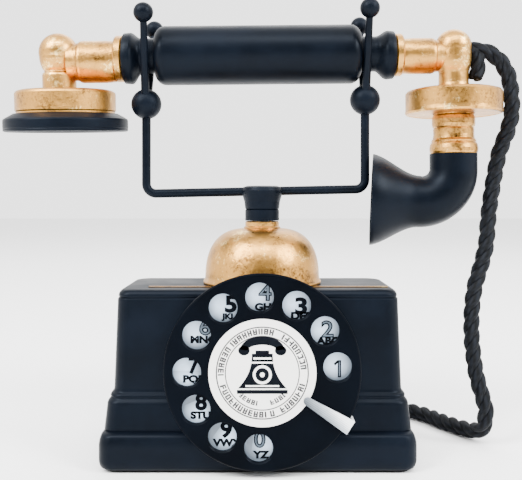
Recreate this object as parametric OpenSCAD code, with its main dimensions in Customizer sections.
// Candlestick-era style rotary desk telephone: stepped casing, finger dial, dome bell,
// fork cradle and a two-ended handset with a trumpet mouthpiece.
// Units: millimetres. +Z is up, -Y is the front. Origin: centre of the base, underside.

/* [Casing] */
// Width of the bottom tier
base_w = 125.5; // [122:0.5:130]
// Depth of the bottom tier
base_d = 65.6; // [65:0.1:66]
// Height of the bottom tier
plinth_h = 15.7; // [15:0.1:16]
// Width of the middle tier
mid_w = 120.4; // [116:0.4:122]
// Depth of the middle tier
mid_d = 55.6; // [54:0.2:57]
// Height at which the middle tier ends
mid_top = 30; // [29:0.5:31]
// Width of the upper tier
upper_w = 116; // [111:0.5:117]
// Depth of the upper tier
upper_d = 50.4; // [50:0.2:52]
// Height of the casing
case_h = 70.8; // [70:0.2:71]
// Wall thickness of the casing and plinth
wall = 2.4; // [2:0.1:2.6]
// Corner radius of the tiers, seen from above
corner_r = 4; // [3:0.5:5]

/* [Bell] */
// Sideways offset of the dial, bell and post from the casing's middle
bell_dx = 1.8; // [0:0.1:2]
// Radius of the gong
bell_r = 24.4; // [24:0.1:25]
// Height of the gong's crown
bell_top = 94.6; // [94:0.1:95]

/* [Dial] */
// Height of the dial's axis
dial_z = 40.7; // [40:0.1:41.5]
// Radius of the finger wheel
wheel_r = 38; // [37:0.5:38.5]
// Number of finger holes
hole_count = 10; // [8:1:10]
// Radius of a finger hole
hole_r = 5.5; // [5:0.1:5.8]
// Radius of the circle that the finger holes stand on
hole_circle = 28.9; // [28.5:0.1:29.5]
// Angle of the first finger hole, anticlockwise from the right
first_hole = 4.5; // [0:0.5:8]
// Radius of the centre card
card_r = 20.6; // [20:0.1:21]
// Angle of the finger stop, anticlockwise from the right
stop_angle = -31.5; // [-35:0.5:-30]
// Teeth on the dial's main gear
gear_teeth = 74; // [74:1:74]
// Teeth on the governor's pinion
pinion_teeth = 12; // [12:1:12]
// Module of the dial gears
gear_module = 0.36; // [0.36:0.01:0.37]

/* [Cradle] */
// Radius of the bent rod
rod_r = 1.9; // [1.8:0.1:2]
// Height of the cross bar's centre line
bar_z = 110.4; // [110:0.1:111]
// Rise of the cross bar from its left arm to its right arm
bar_rise = 1.8; // [0:0.2:2]
// Place of the left arm
arm_left = -48.2; // [-48.6:0.1:-47.8]
// Place of the right arm
arm_right = 46.2; // [46:0.1:46.3]
// Height of the arms' balls above the cross bar
arm_h = 38.6; // [38:0.1:39]
// Radius of the balls on the arms
ball_r = 6.5; // [6:0.1:6.6]
// Radius of the balls on the fork prongs
tip_r = 4.1; // [3.6:0.1:4.2]
// Half the gap between the prong tips
fork_half = 16.5; // [16.2:0.1:17]

/* [Handset] */
// Height of the grip's axis
axis_z = 169.3; // [169:0.1:170]
// Rise of the handset to the right, in degrees
handset_tilt = 0.5; // [0:0.1:0.6]
// Radius of the grip's barrel
grip_r = 12.6; // [12:0.1:12.8]
// Radius of the grip's necks
neck_r = 7.5; // [7.3:0.1:7.6]
// Place of the receiver's axis
receiver_x = -83.6; // [-84.5:0.1:-83.5]
// Lean of the receiver towards the front, in degrees
receiver_lean = 4.3; // [3:0.1:5]
// Radius of the receiver's shell
receiver_r = 21.4; // [21:0.1:22]
// Radius of the ear cap
ear_r = 26.5; // [26:0.1:26.8]
// Place of the transmitter's axis
transmitter_x = 84.3; // [84:0.1:85]
// Radius of the transmitter's shell
transmitter_r = 20.6; // [20:0.1:22]
// Radius of the horn's mouth
mouth_r = 20; // [19:0.5:20]

/* [Cord] */
// Diameter of the handset's cord
cord_d = 7.2; // [6:0.2:7.4]

/* [Hidden] */
$fn = 64;
eps = 0.01;
fit = 0.05;                      // radial clearance of a running fit
black = [0.10, 0.12, 0.16];
gold = [0.80, 0.62, 0.36];
steel = [0.72, 0.73, 0.74];
brass = [0.78, 0.62, 0.30];
hole_step = 180 * pinion_teeth / gear_teeth;   // one pulse of the two-lobed cam per hole
wheel_front = 38;                // distances forward of the casing's middle plane
wheel_back = 36;
plate_front = 34.5;
pan_front = 33.6;
can_r = 24;
arbor = gear_module * (gear_teeth + pinion_teeth) / 2;
plunger_r = 3;
standard_r = 4.6;
collar_top = 97.6;
hub_low = 97.9;
ringer_x = 14.7;
ringer_y = 12.9;
ringer_z = 49;
lever_x = -24;
lever_z = 51.6;
ball_face = 91;                  // flat on the right ball, where the cord starts
gland_x = 36;
gland_z = 8;
gland_face = 37.2;

// The cord's route, from the handset's right ball down to the table and to the rear gland.
cord_route = [
    [ball_face, 0, 171.4], [95, 0, 171.4], [98.5, 0, 170.8], [101.8, 0, 169.2],
    [104.8, 0, 166.4], [107.2, 0, 162.6], [108.8, 0, 157.6], [109.5, 0, 151],
    [109.6, 0, 144], [107.6, 0, 136], [104.6, 0, 128.5], [102.8, 0, 121],
    [101.3, 0, 112.5], [100, 0, 104], [99.2, 0, 96], [98.5, 0, 87.5],
    [96.5, 0, 79], [93.8, 0, 70], [92.4, 0, 60], [92.2, 0, 49],
    [93, 0, 39.5], [94.2, -0.5, 31], [96, -1, 24], [97.8, -1, 17.6],
    [98.2, 0.2, 11.8], [97.6, 3.4, 7.2], [95.8, 8.4, 4.6], [92.6, 14.2, 3.8],
    [88.4, 20.6, 3.7], [84.4, 28, 3.7], [80.4, 35.6, 3.7], [74.4, 42.6, 3.7],
    [66.6, 47.6, 3.8], [58, 50.6, 4.3], [49.6, 51.6, 5.3], [42.4, 50, 6.6],
    [37.8, 45.6, 7.6], [gland_x, 41.2, gland_z], [gland_x, gland_face, gland_z]
];

// ---------- shared shapes and functions ----------

// Rectangle with round corners, seen from above
module rounded_plan(w, d, r) {
    square([w - 2 * r, d], center = true);
    square([w, d - 2 * r], center = true);
    for (x = [-1, 1], y = [-1, 1]) translate([x * (w / 2 - r), y * (d / 2 - r)]) circle(r);
}

module slab(w, d, r, z, h) {
    translate([0, 0, z]) linear_extrude(h) rounded_plan(w, d, r);
}

// Tier with a moulded edge: each level is [height, how far it stands in]
module tier(w, d, levels) {
    hull() for (l = levels) slab(w - 2 * l[1], d - 2 * l[1], corner_r, l[0], eps, $fn = 24);
}

// Round rod from a to b
module rod(a, b, r1, r2) {
    v = b - a;
    translate(a) rotate([0, acos(v[2] / norm(v)), atan2(v[1], v[0])])
        cylinder(h = norm(v), r1 = r1, r2 = r2);
}

// Ring about the Z axis, between two radii and two heights
module ring(r1, r2, z1, z2) {
    translate([0, 0, z1]) difference() {
        cylinder(h = z2 - z1, r = r2);
        translate([0, 0, -1]) cylinder(h = z2 - z1 + 2, r = r1);
    }
}

function bezier(p, t) = pow(1 - t, 3) * p[0] + 3 * t * pow(1 - t, 2) * p[1]
    + 3 * t * t * (1 - t) * p[2] + pow(t, 3) * p[3];
function curve(p, n) = [for (i = [0:n]) bezier(p, i / n)];
function arc(c, rx, ry, a1, a2, n) =
    [for (i = [0:n]) c + [rx * cos(a1 + (a2 - a1) * i / n), ry * sin(a1 + (a2 - a1) * i / n)]];
function reversed(p) = [for (i = [len(p) - 1:-1:0]) p[i]];
function on_circle(r, a) = [r * cos(a), r * sin(a)];

// Closed skin over a list of rings that all have the same number of points
module skin(rings) {
    m = len(rings[0]);
    n = len(rings);
    polyhedron(
        points = [for (r = rings) each r],
        faces = [
            [for (j = [m - 1:-1:0]) j],
            for (i = [0:n - 2], j = [0:m - 1])
                [i * m + j, i * m + (j + 1) % m, (i + 1) * m + (j + 1) % m, (i + 1) * m + j],
            [for (j = [0:m - 1]) (n - 1) * m + j]
        ], convexity = 8);
}

// The dial's own frame: its Z axis points out of the casing's front
module at_dial() {
    translate([bell_dx, 0, dial_z]) rotate([90, 0, 0]) children();
}

// The handset's own frame: X along the grip, origin at the grip's centre
module at_handset() {
    translate([0, 0, axis_z]) rotate([0, -handset_tilt, 0]) children();
}

// One arm of the cradle: side is -1 at the left and 1 at the right
function arm_x(side) = side < 0 ? arm_left : arm_right;
function arm_z(side) = bar_z + side * bar_rise / 2;

// ---------- base ----------

screw_places = [for (x = [-1, 1], y = [-1, 1]) [x * (base_w / 2 - 8), y * (base_d / 2 - 8)]];

module base_felt() {
    color([0.13, 0.13, 0.14]) slab(base_w - 6, base_d - 6, corner_r, 0, 1);
}

module base_plate() {
    color(steel) difference() {
        slab(base_w - 7, base_d - 7, corner_r, 1, 1.6);
        for (p = screw_places) translate([p[0], p[1], 0.9]) {
            cylinder(h = 3, r = 1.4);
            cylinder(h = 1, r1 = 2.6, r2 = 1.4);
        }
    }
}

module base_screws() {
    color(brass) for (p = screw_places) translate([p[0], p[1], 1]) {
        cylinder(h = 0.8, r1 = 2.4, r2 = 1.2);
        cylinder(h = 9, r = 1.2);
    }
}

module plinth() {
    color(black) difference() {
        tier(base_w, base_d, [[1, 1.6], [2, 0.5], [3.6, 0], [12.2, 0], [13.9, 0.5],
            [15, 1.4], [plinth_h - eps, 2.4]]);
        slab(base_w - 6.8, base_d - 6.8, corner_r, 0, 2.7);
        difference() {
            slab(base_w - 2 * wall - 2, base_d - 2 * wall - 2, corner_r, 2.6, plinth_h - 2.6 - wall);
            for (p = screw_places) translate([p[0], p[1], 0]) cylinder(h = plinth_h, r = 4);
        }
        slab(base_w - 18, base_d - 20, corner_r, 2, plinth_h);
        for (p = screw_places) translate([p[0], p[1], 0]) cylinder(h = 10.5, r = 1.25);
        translate([gland_x, base_d / 2 - 9, gland_z]) rotate([-90, 0, 0]) cylinder(h = 12, r = 4.2);
        translate([-gland_x, base_d / 2 - 9, gland_z]) rotate([-90, 0, 0]) cylinder(h = 12, r = 4.2);
    }
}

// ---------- casing and bell ----------

module casing() {
    color(black) difference() {
        union() {
            slab(mid_w, mid_d, corner_r, plinth_h, mid_top - 2.4 - plinth_h);
            slab(mid_w - 2.4, mid_d - 2.4, corner_r, mid_top - 2.5, 2.5);
            tier(upper_w, upper_d, [[mid_top - 0.5, 0], [case_h - 3, 1.2]]);
            slab(upper_w - 1, upper_d - 1, corner_r, case_h - 3.2, 2.4);
            slab(upper_w - 3, upper_d - 3, corner_r, case_h - 1, 1);
        }
        slab(mid_w - 2 * wall, mid_d - 2 * wall, corner_r, plinth_h - 1, mid_top - wall - plinth_h);
        slab(upper_w - 2 * wall - 2, upper_d - 2 * wall, corner_r, plinth_h, case_h - wall - plinth_h);
        at_dial() cylinder(h = 60, r = can_r + 0.1);
        translate([bell_dx, 0, case_h - 5]) cylinder(h = 10, r = standard_r + 0.1);
        translate([ringer_x, ringer_y, case_h]) cube([7, 3.6, 12], center = true);
    }
}

// Thin gilt line on the top, in front of the gong and open where the gong stands
module top_trim() {
    color(gold) difference() {
        translate([-45, -15.6, case_h]) cube([98.5, 1.4, 0.4]);
        translate([bell_dx, 0, case_h - 1]) cylinder(h = 2, r = bell_r + 1.6);
    }
}

module bell_gong() {
    outer = curve([[bell_r + 0.1, 74], [bell_r, 83.5], [21.5, bell_top - 0.2], [7.3, bell_top]], 16);
    inner = curve([[bell_r - 1.2, 74], [bell_r - 1.2, 82.6], [20.4, bell_top - 1.4],
        [5.4, bell_top - 1.3]], 16);
    color(gold) translate([bell_dx, 0, 0]) rotate_extrude() polygon(concat(
        [[bell_r - 0.8, case_h + 0.1], [bell_r + 0.9, case_h + 0.1], [bell_r + 1, case_h + 1.2],
            [bell_r + 0.5, 73]],
        outer, [[standard_r + 0.1, bell_top], [standard_r + 0.1, bell_top - 1.3]],
        reversed(inner)));
}

module bell_collar() {
    color(gold) translate([bell_dx, 0, 0]) rotate_extrude() polygon([
        [standard_r, bell_top], [7.9, bell_top], [7.9, bell_top + 0.5], [7.3, bell_top + 0.9],
        [7.3, collar_top - 0.4], [6.9, collar_top], [standard_r, collar_top]]);
}

// Fixed post: the plunger slides in its bore
module bell_standard() {
    color(steel) translate([bell_dx, 0, 60]) difference() {
        union() {
            cylinder(h = 36.9, r = standard_r);
            ring(standard_r - 1, 8.5, 6, case_h - wall - 60);
        }
        translate([0, 0, -1]) cylinder(h = 60, r = plunger_r + fit);
    }
}

// ---------- cord entries ----------

module gland(x, bore, nose) {
    translate([x, 0, gland_z]) rotate([-90, 0, 0]) rotate_extrude() polygon([
        [bore, base_d / 2 - 6], [5.2, base_d / 2 - 6], [5.2, base_d / 2 - 3.4], [4.2, base_d / 2 - 3.4],
        [4.2, base_d / 2], [5.8, base_d / 2], [5.8, base_d / 2 + 1.2], [4.6, nose], [bore, nose]]);
}

module cord_gland() {
    color(black) gland(gland_x, 2.6, gland_face);
}

module line_gland() {
    color(black) gland(-gland_x, 2.2, base_d / 2 + 3);
}

// ---------- dial, fixed pieces ----------

// Raised ring that carries the dial in front of the stepped casing
module dial_boss() {
    color(black) difference() {
        at_dial() ring(can_r + 0.1, 29, upper_d / 2, pan_front - 0.6);
        translate([-50, -mid_d / 2, -10]) cube([100, 60, mid_top + 10]);
        translate([-50, -mid_d / 2 - 10, -10]) cube([100, 60, plinth_h + 10]);
        translate([0, 0, 20]) tier(upper_w, upper_d, [[0, 0], [10, 0]]);
    }
}

module dial_housing() {
    color(black) at_dial() difference() {
        union() {
            ring(can_r - 1, can_r, 9.5, pan_front - 0.6);
            translate([0, 0, 9.5]) cylinder(h = 1, r = can_r);
            ring(can_r - 1, 36.8, pan_front - 0.6, pan_front);
        }
        rotate(stop_angle) translate([33.8, 0, 30]) cylinder(h = 10, r = 1.05);
    }
}

module number_plate() {
    color([0.80, 0.84, 0.88]) at_dial() difference() {
        translate([0, 0, pan_front]) cylinder(h = plate_front - pan_front, r = 36.9);
        translate([0, 0, 30]) cylinder(h = 10, r = 6.6);
        rotate(stop_angle) translate([33.8, 0, 30]) cylinder(h = 10, r = 1.05);
    }
}

module stop_outline(r1, r2) {
    polygon([[r1, -1.5], [r2, -2.9], [r2, 2.9], [r1, 1.5]]);
}

// Bent strip: an arm over the wheel, a leg outside its rim and a foot behind the number plate
module finger_stop() {
    color(steel) at_dial() rotate(stop_angle) difference() {
        union() {
            translate([0, 0, wheel_front + 0.5]) linear_extrude(1) {
                stop_outline(20.2, 39.4);
                translate([20.2, 0]) circle(1.5);
            }
            translate([0, 0, pan_front - 1.6]) linear_extrude(wheel_front + 1.5 - pan_front + 1.6)
                intersection() {
                    stop_outline(20.2, 39.4);
                    translate([38.35, -5]) square([2, 10]);
                }
            translate([0, 0, pan_front - 1.6]) linear_extrude(1) intersection() {
                stop_outline(20.2, 39.4);
                translate([30.4, -5]) square([9, 10]);
            }
        }
        translate([33.8, 0, 30]) cylinder(h = 5, r = 1.05);
    }
}

module stop_screw() {
    color(steel) at_dial() rotate(stop_angle) translate([33.8, 0, 0]) {
        translate([0, 0, pan_front - 2.4]) cylinder(h = 0.8, r = 1.9);
        translate([0, 0, pan_front - 2.4]) cylinder(h = 2.9, r = 1);
    }
}

pillar_angles = [30, 150, 270];

// Two plates and three pillars that carry the shaft and the governor's spindle
module dial_frame() {
    color(brass) at_dial() difference() {
        union() {
            for (z = [12, 30.6]) translate([0, 0, z]) cylinder(h = 1.2, r = can_r - 1.1);
            translate([0, 0, 29.2]) cylinder(h = 3.2, r = 4.4);
            for (a = pillar_angles) rotate(a) translate([20.6, 0, 12]) cylinder(h = 19, r = 1.5);
        }
        translate([0, 0, 11]) cylinder(h = 30, r = 2.5 + fit);
        translate([0, arbor, 11]) cylinder(h = 30, r = 1 + fit);
    }
}

// Leaf springs that the cam opens once for each finger hole
module impulse_springs() {
    color(brass) at_dial() {
        for (x = [6.5, 7.9]) translate([x, 8, 23]) cube([0.5, 11, 3]);
        translate([6, 18.2, 21.5]) cube([3, 2.4, 9.1]);
    }
}

module governor_cup() {
    color(brass) at_dial() translate([0, arbor, 0]) {
        ring(6.1, 6.8, 13.2, 20);
        ring(1.6, 6.8, 13.2, 13.8);
    }
}

// Flat coiled return spring round the shaft
module return_spring() {
    spiral = [for (i = [0:72]) on_circle(3.3 + 4.4 * i / 72, 20 * i)];
    inner = [for (i = [72:-1:0]) on_circle(2.9 + 4.4 * i / 72, 20 * i)];
    color(steel) at_dial() translate([0, 0, 15]) linear_extrude(5) polygon(concat(spiral, inner));
}

// ---------- dial, moving pieces ----------

function hole_angle(i) = first_hole + hole_step * i;

module finger_wheel() {
    color(black) at_dial() difference() {
        rotate_extrude() polygon(concat(
            [[2.5, 34.9], [6, 34.9], [6, wheel_back], [wheel_r - 0.8, wheel_back]],
            arc([wheel_r - 1, wheel_front - 1], 1, 1, -45, 90, 8),
            [[card_r + 0.1, wheel_front], [card_r + 0.1, wheel_front - 0.7],
                [2.5, wheel_front - 0.7]]));
        for (i = [0:hole_count - 1]) rotate(hole_angle(i)) translate([hole_circle, 0, 0]) {
            translate([0, 0, 30]) cylinder(h = 12, r = hole_r);
            translate([0, 0, wheel_front - 0.5]) cylinder(h = 0.6, r1 = hole_r, r2 = hole_r + 0.7);
        }
    }
}

module centre_card() {
    color([0.95, 0.94, 0.92]) at_dial() difference() {
        translate([0, 0, wheel_front - 0.7]) cylinder(h = 0.8, r = card_r);
        translate([0, 0, wheel_front - 1]) cylinder(h = 2, r = 1.4);
    }
}

module card_screw() {
    color(brass) at_dial() {
        translate([0, 0, 36.6]) cylinder(h = 1.5, r = 1.4);
    }
}

module dial_shaft() {
    color(steel) at_dial() {
        translate([0, 0, 11.4]) cylinder(h = 25.2, r = 2.5);
    }
}

// Straight-sided teeth with enough play to run free
module gear(teeth, bore, z1, z2) {
    rp = gear_module * teeth / 2;
    half = (PI * gear_module / 4 - 0.07) / rp * 180 / PI;
    lean = gear_module * tan(20) / rp * 180 / PI;
    translate([0, 0, z1]) difference() {
        linear_extrude(z2 - z1) polygon([for (i = [0:teeth - 1]) let (a = 360 * i / teeth) each [
            on_circle(rp - 1.25 * gear_module, a - half - lean),
            on_circle(rp + 0.9 * gear_module, a - half + lean),
            on_circle(rp + 0.9 * gear_module, a + half - lean),
            on_circle(rp - 1.25 * gear_module, a + half + lean)]]);
        if (bore > 0) translate([0, 0, -1]) cylinder(h = 10, r = bore);
    }
}

module main_gear() {
    color(brass) at_dial() gear(gear_teeth, 2.5, 26.6, 28.4);
}

// Pinion, spindle and two-lobed impulse cam in one piece
module impulse_spindle() {
    color(steel) at_dial() translate([0, arbor, 0]) {
        translate([0, 0, 12]) cylinder(h = 19.8, r = 1);
        gear(pinion_teeth, 0, 26.4, 28.6);
        intersection() {
            translate([-2.2, 0, 23.2]) cylinder(h = 2.6, r = 6.4);
            translate([2.2, 0, 23.2]) cylinder(h = 2.6, r = 6.4);
        }
    }
}

module governor_weights() {
    color(brass) at_dial() translate([0, arbor, 15]) {
        for (s = [-1, 1]) scale([s, 1, 1]) intersection() {
            ring(2.4, 5.6, 0, 4);
            translate([0.8, -4, -1]) cube([8, 8, 8]);
        }
        difference() {
            translate([-3.4, -0.8, 4]) cube([6.8, 1.6, 1]);
            cylinder(h = 12, r = 1);
        }
    }
}

// ---------- hook switch ----------

module hook_bracket() {
    color(steel) difference() {
        union() {
            translate([lever_x - 3, 4, 2.6]) cube([6, 2.4, lever_z + 1]);
            translate([lever_x - 3, -6, 2.6]) cube([6, 12, 1.6]);
            translate([lever_x, 4, 32.4]) cube([bell_dx + 4 - lever_x, 2.4, 3.6]);
            translate([bell_dx - 4, -4, 34.4]) cube([8, 9, 1.6]);
        }
        translate([lever_x, 0, lever_z]) rotate([-90, 0, 0]) cylinder(h = 20, r = 1 + fit);
    }
}

module hook_contacts() {
    color(brass) {
        for (z = [41.2, 43.4, 45.6]) translate([-44, -2, z]) cube([17.6, 4, 0.5]);
        translate([-48, -3, 39.5]) cube([5, 6, 8]);
        translate([-48, -3, 2.6]) cube([2, 6, 37]);
    }
}

// Round-wire coil spring under the plunger
module hook_spring() {
    turns = 7;
    rings = [for (i = [0:turns * 10]) let (a = 36 * i, z = 36.5 + 12.9 * i / (turns * 10))
        [for (j = [0:5]) let (b = 60 * j)
            [(2.2 + 0.45 * cos(b)) * cos(a), (2.2 + 0.45 * cos(b)) * sin(a), z + 0.45 * sin(b)]]];
    color(steel) translate([bell_dx, 0, 0]) skin([for (r = rings) reversed(r)]);
}

module hook_lever() {
    color(steel) {
        translate([lever_x, 3.6, lever_z]) rotate([90, 0, 0]) cylinder(h = 6.6, r = 2.4);
        translate([lever_x, -2, lever_z + 0.4]) cube([22.2, 4, 1.6]);
        translate([lever_x - 8, -2, lever_z - 1.6]) cube([8, 4, 1.6]);
        translate([lever_x - 8, -2, lever_z - 3]) cube([1.6, 4, 2]);
        translate([lever_x, 3.5, lever_z]) rotate([-90, 0, 0]) cylinder(h = 3.4, r = 1);
    }
}

module hook_plunger() {
    color(steel) translate([bell_dx, 0, 0]) {
        translate([0, 0, 50]) cylinder(h = 56, r = plunger_r);
        translate([0, 0, 50]) cylinder(h = 1.5, r = 5);
    }
}

// ---------- cradle ----------

module cradle_hub() {
    color(black) difference() {
        translate([bell_dx, 0, 0]) rotate_extrude() polygon([
            [0, 106], [plunger_r, 106], [plunger_r, hub_low], [7.35, hub_low], [7.35, 102.4],
            [6.9, 102.7], [7.35, 103], [7.7, 106], [8.7, 109.4], [8.9, 110.8],
            [8.3, 112.2], [6.6, 112.8], [0, 112.9]]);
        cross_bar();
    }
}

// Cross bar with an upright arm at each end, bent from one rod
bend = 4.2;

module cross_bar() {
    rod([arm_left + bend, 0, arm_z(-1)], [arm_right - bend, 0, arm_z(1)], rod_r, rod_r);
}

module arm(side) {
    translate([arm_x(side), 0, arm_z(side) + bend]) {
        translate([-side * bend, 0, 0]) rotate([90, 0, 0])
            rotate_extrude(angle = 90, start = side < 0 ? 180 : 270) translate([bend, 0]) circle(rod_r);
        cylinder(h = arm_h - bend - 5.5, r = rod_r);
    }
}

module cradle_bar() {
    color(black) {
        cross_bar();
        for (side = [-1, 1]) arm(side);
    }
}

// A prong runs from its foot on the arm's ball to its own small ball; face is -1 at the front
function prong_foot(side, face) = [arm_x(side), face * 2.9, arm_z(side) + arm_h + 1.4];
function prong_tip(side, face) = [arm_x(side) + 0.5 - 0.7 * side, face * fork_half,
    arm_z(side) + arm_h + 35.6];

module prong(side, face) {
    rod(prong_foot(side, face), prong_tip(side, face), 1.8, 1.45);
}

module cradle_balls() {
    color(black) for (side = [-1, 1]) difference() {
        translate([arm_x(side), 0, arm_z(side) + arm_h]) sphere(ball_r);
        translate([arm_x(side), 0, arm_z(side)]) cylinder(h = arm_h - 5.5, r = rod_r);
        for (face = [-1, 1]) prong(side, face);
    }
}

module fork(side) {
    color(black) difference() {
        for (face = [-1, 1]) prong(side, face);
        translate([arm_x(side), 0, arm_z(side) + arm_h]) sphere(3.2);
        for (face = [-1, 1]) translate(prong_tip(side, face)) sphere(tip_r);
    }
}

module fork_left() { fork(-1); }
module fork_right() { fork(1); }

module fork_tips() {
    color(black) for (side = [-1, 1], face = [-1, 1]) translate(prong_tip(side, face)) sphere(tip_r);
}

// ---------- ringer ----------

module ringer_frame() {
    color(steel) difference() {
        union() {
            translate([2, 19.4, 2.6]) cube([26, 1.6, 50.4]);
            translate([0, 6.5, 21.5]) cube([30, 13.4, 2]);
            for (x = [-9, 9]) translate([ringer_x + x, ringer_y, 23]) cylinder(h = 21.4, r = 2.2);
        }
        translate([ringer_x, 15, ringer_z]) rotate([-90, 0, 0]) cylinder(h = 10, r = 1 + fit);
    }
}

module ringer_coils() {
    color([0.62, 0.30, 0.16]) for (x = [-9, 9]) translate([ringer_x + x, ringer_y, 0]) {
        ring(2.25, 5.4, 24.6, 42.4);
        ring(2.25, 6.2, 23.5, 24.6);
        ring(2.25, 6.2, 42.4, 43.5);
    }
}

module ringer_magnet() {
    color([0.30, 0.31, 0.33]) translate([5, 8, 13.5]) cube([20, 9, 8]);
}

module ringer_armature() {
    color(steel) difference() {
        union() {
            translate([ringer_x - 12, 7, 45.2]) cube([24, 11, 1.8]);
            translate([ringer_x, 7, ringer_z]) rotate([-90, 0, 0]) cylinder(h = 11.9, r = 2.4);
            translate([ringer_x, 18, ringer_z]) rotate([-90, 0, 0]) cylinder(h = 2.9, r = 1);
        }
        translate([ringer_x, ringer_y, 47.5]) cylinder(h = 10, r = 0.8);
    }
}

module clapper() {
    color(brass) {
        translate([ringer_x, ringer_y, 47.5]) cylinder(h = 29, r = 0.8);
        translate([ringer_x, ringer_y, 79]) sphere(3);
    }
}

// ---------- wiring pieces in the base ----------

terminal_places = [for (i = [0:4]) [-48 + 6.4 * i, 14]];

module terminal_block() {
    color([0.16, 0.14, 0.12]) difference() {
        translate([-52, 9.6, 2.6]) cube([33.6, 9, 7.4]);
        for (p = terminal_places) translate([p[0], p[1], 6]) cylinder(h = 6, r = 1.25);
    }
}

module terminal_screws() {
    color(brass) for (p = terminal_places) translate([p[0], p[1], 0]) {
        translate([0, 0, 6]) cylinder(h = 4.4, r = 1.25);
        translate([0, 0, 10]) cylinder(h = 1.4, r = 2.3);
    }
}

module induction_coil() {
    color([0.55, 0.28, 0.14]) translate([44, -16, 10.4]) rotate([-90, 0, 0]) {
        cylinder(h = 30, r = 5.6);
        for (z = [0, 28.4]) translate([0, 0, z]) cylinder(h = 1.6, r = 7.4);
    }
}

module capacitor() {
    color([0.62, 0.64, 0.66]) translate([-52, -20, 2.6]) cube([20, 15, 22]);
}

// ---------- handset ----------

// Half of the grip's outline from the barrel's middle to an end, as [radius, distance]
function grip_half(flare_r, flare_x, end_x) = concat(
    arc([neck_r, 39.6], grip_r - neck_r, 4.8, 0, 90, 10),
    [[neck_r, 50.2]],
    [for (i = [1:8]) [neck_r + (flare_r - neck_r) * (1 - cos(22.5 * i)) / 2,
        50.2 + (flare_x - 50.2) * i / 8]],
    arc([flare_r - 1, end_x - 1.4], 1, 1.4, 40, 80, 3), [[flare_r - 1.2, end_x]]);

module grip_side(flare_r, flare_x, end_x) {
    rotate_extrude() polygon(concat([[3.5, -0.1], [grip_r, -0.1]],
        grip_half(flare_r, flare_x, end_x), [[3.5, end_x]]));
}

module handset_grip() {
    color(black) at_handset() {
        rotate([0, 90, 0]) grip_side(10.4, 55.6, 58.5);
        rotate([0, -90, 0]) grip_side(11, 54.6, 57.7);
    }
}

// Gold sleeve between the grip and a ball joint: a ring, and a tube that hangs a little lower
module ferrule(r_ring, r_tube, x1, x2, x3, drop) {
    translate([-drop / 2, 0, 0]) rotate_extrude() polygon([
        [4, x1], [r_ring - 0.6, x1], [r_ring, x1 + 0.7], [r_ring, x2 - 0.7], [r_ring - 0.6, x2], [4, x2]]);
    translate([-drop, 0, 0]) rotate_extrude() polygon(concat(
        [[4, x2], [r_tube - 0.3, x2], [r_tube, x2 + 4]],
        arc([r_tube - 1.6, x3 - 2.2], 1.6, 2.2, 0, 60, 5), [[r_tube - 1.4, x3 + 4], [4, x3 + 4]]));
}

module ferrule_left() {
    color(gold) at_handset() difference() {
        rotate([0, -90, 0]) ferrule(9.9, 9, 57.8, 61.4, 77.4, 2.4);
        receiver_ball();
    }
}

module ferrule_right() {
    color(gold) at_handset() difference() {
        rotate([0, 90, 0]) rotate(180) ferrule(9.1, 7.7, 58.6, 62.1, 76.4, 1.1);
        transmitter_ball();
    }
}

// Ball over a neck that stands on a disc: neck is its outline as [radius, height]
module ball_joint(x, z, r, neck) {
    translate([x, 0, z]) sphere(r);
    translate([x, 0, 0]) rotate_extrude() polygon(concat([[0, z]], neck, [[0, neck[len(neck) - 1][1]]]));
}

// The receiver leans on its ball
module leaning() {
    translate([0, 0, 1.6]) rotate([receiver_lean, 0, 0]) translate([0, 0, -1.6]) children();
}

module receiver_ball() {
    leaning() ball_joint(-86.1, 1.6, 8.4, [[8.3, 1.2], [8.15, -1.2], [7.75, -3.2], [7, -5.2], [6.3, -6.2],
        [6.2, -6.6], [6.9, -7.2], [7.2, -8], [7.2, -14.5]]);
}

module transmitter_ball() {
    ball_joint(84.4, 2.4, 7.9, [[7.8, 1.4], [7.85, -1], [7.7, -4], [7.2, -6.2], [6.5, -7.8],
        [6.3, -8.8], [6.4, -13], [7, -15.8]]);
}

module receiver_joint() {
    color(gold) at_handset() receiver_ball();
}

// The right ball has a flat where the cord comes out
module transmitter_joint() {
    color(gold) difference() {
        at_handset() transmitter_ball();
        translate([ball_face, -20, axis_z - 20]) cube(40);
    }
}

module receiver_shell() {
    r = receiver_r;
    color(gold) at_handset() leaning() translate([receiver_x, 0, 0]) rotate_extrude() polygon([
        [1.5, -14.5], [r - 2.2, -14.5], [r - 1.2, -14.8], [r - 0.4, -15.3], [r, -16],
        [r, -23.3], [r - 0.5, -23.8], [r - 0.5, -24.5], [r - 2, -24.5], [r - 2, -17.3], [1.5, -17.3]]);
}

module receiver_capsule() {
    color([0.35, 0.36, 0.38]) at_handset() leaning() translate([receiver_x, 0, 0])
        rotate_extrude() polygon([[0, -24.3], [18.6, -24.3], [18.6, -21.5], [12, -21.5],
            [11, -18.5], [0, -18.5]]);
}

// Screwed cap with a dished face and a ring of sound holes
module ear_cap() {
    color(black) at_handset() leaning() translate([receiver_x, 0, 0]) difference() {
        rotate_extrude() polygon(concat(
            [[0, -25.5], [19.2, -25.5], [19.2, -24.6], [22.2, -24.6], [24.9, -26.1]],
            arc([ear_r - 0.8, -27.9], 0.8, 1.2, 60, 0, 4),
            [[ear_r, -30.7], [ear_r - 0.2, -31.1]],
            arc([ear_r - 1.2, -31.5], 1.2, 0.9, 30, -90, 6),
            [[22.6, -32.4], [19, -31], [12, -30], [0, -29.7]]));
        for (a = [0:60:300]) rotate(a) translate([7, 0, -34]) cylinder(h = 12, r = 1.1);
        translate([0, 0, -34]) cylinder(h = 12, r = 1.1);
    }
}

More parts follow.
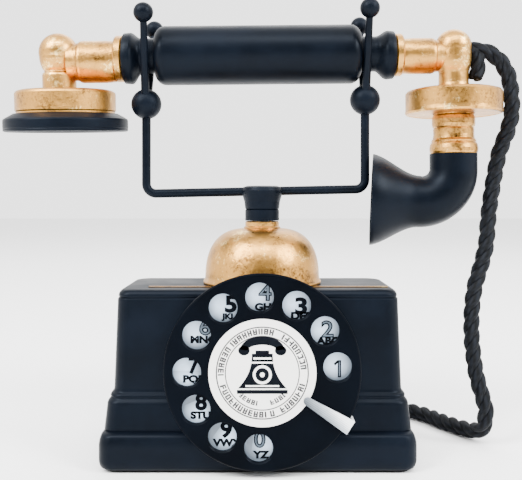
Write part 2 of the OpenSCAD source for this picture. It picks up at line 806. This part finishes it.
module transmitter_shell() {
    r = transmitter_r;
    color(gold) at_handset() translate([transmitter_x, 0, 0]) rotate_extrude() polygon([
        [1.5, -15.8], [r - 2.4, -15.9], [r - 0.8, -16.4], [r - 0.1, -17.3], [r - 0.1, -24],
        [r, -24.8], [r + 0.1, -25.4], [r - 0.3, -26.2], [r - 1.2, -26.4], [r - 1.8, -26.1],
        [8.9, -26.1], [8.9, -24.7], [r - 1.6, -24.7], [r - 1.6, -18], [r - 2.6, -17.4], [1.5, -17.4]]);
}

module transmitter_capsule() {
    color([0.35, 0.36, 0.38]) at_handset() translate([transmitter_x, 0, -23.6])
        difference() {
            cylinder(h = 4.6, r = 17);
            translate([0, 0, -1]) cylinder(h = 3, r = 12);
        }
}

module horn_neck() {
    color(gold) at_handset() translate([84.2, 0, 0]) rotate_extrude() polygon([
        [4, -24.7], [8.4, -24.7], [8.4, -26.6], [8.9, -27.3], [9.15, -28.6], [9.15, -30.6], [8.9, -31.8],
        [8.5, -32.3], [8.7, -33], [8.6, -35.2], [8.8, -36.8], [9.5, -37.8], [9.3, -38.3], [10, -39.4],
        [10.3, -41], [10.2, -42.4], [9.8, -43.4], [4, -43.4]]);
}

// Trumpet: a pipe that turns through a bend and flares to its mouth
horn_bend = 14;
horn_turn = 93;
horn_flare = 20.6;
function horn_place(s) = s < 0 ? [84, -43.4 - 6.5 * (1 + s)]
    : let (a = horn_turn * min(s, 1), far = horn_flare * max(0, s - 1))
        [84 - horn_bend + horn_bend * cos(a) - far * sin(a),
            -49.9 - horn_bend * sin(a) - far * cos(a)];
horn_yaw = -7.5;
function horn_radius(s) = s < 1 ? 10.1 + 1.1 * pow(max(0, s), 1.2)
    : let (u = s - 1) 11.2 + (mouth_r - 11.2) * u * u * (2.6 - 1.6 * u);
function horn_ring(s, r) = let (c = horn_place(s), a = horn_turn * max(0, min(s, 1)))
    [for (j = [0:31]) let (t = 11.25 * j)
        [c[0] + r * cos(t) * cos(a), r * sin(t), c[1] - r * cos(t) * sin(a)]];

module horn() {
    steps = [-1, each [0:0.125:1], each [1.125:0.125:2]];
    back = [for (i = [len(steps) - 2:-1:1]) steps[i]];
    color(black) at_handset() translate([84, 0, 0]) rotate(horn_yaw) translate([-84, 0, 0]) skin(concat(
        [for (s = steps) horn_ring(s, horn_radius(s))],
        [horn_ring(2, horn_radius(2) - 0.9)],
        [for (s = back) horn_ring(s, horn_radius(s) - 1.4)]));
}

// ---------- cord ----------

function route_way(i) = let (n = len(cord_route) - 1,
    v = cord_route[min(n, i + 1)] - cord_route[max(0, i - 1)]) v / norm(v);
function cord_ring(i) = let (w = route_way(i), u0 = cross(w, [1, 0, 1]), u = u0 / norm(u0), v = cross(w, u))
    [for (j = [0:9]) cord_route[i] + cord_d / 2 * (u * cos(36 * j) + v * sin(36 * j))];

module handset_cord() {
    color(black) skin([for (i = [0:len(cord_route) - 1]) cord_ring(i)]);
}

base_felt();
base_plate();
base_screws();
plinth();
casing();
top_trim();
bell_gong();
bell_collar();
bell_standard();
cord_gland();
line_gland();
dial_boss();
dial_housing();
number_plate();
finger_stop();
stop_screw();
dial_frame();
impulse_springs();
governor_cup();
return_spring();
finger_wheel();
centre_card();
card_screw();
dial_shaft();
main_gear();
impulse_spindle();
governor_weights();
hook_bracket();
hook_contacts();
hook_spring();
hook_lever();
hook_plunger();
cradle_hub();
cradle_bar();
cradle_balls();
fork_left();
fork_right();
fork_tips();
ringer_frame();
ringer_coils();
ringer_magnet();
ringer_armature();
clapper();
terminal_block();
terminal_screws();
induction_coil();
capacitor();
handset_grip();
ferrule_left();
ferrule_right();
receiver_joint();
transmitter_joint();
receiver_shell();
receiver_capsule();
ear_cap();
transmitter_shell();
transmitter_capsule();
horn_neck();
horn();
handset_cord();
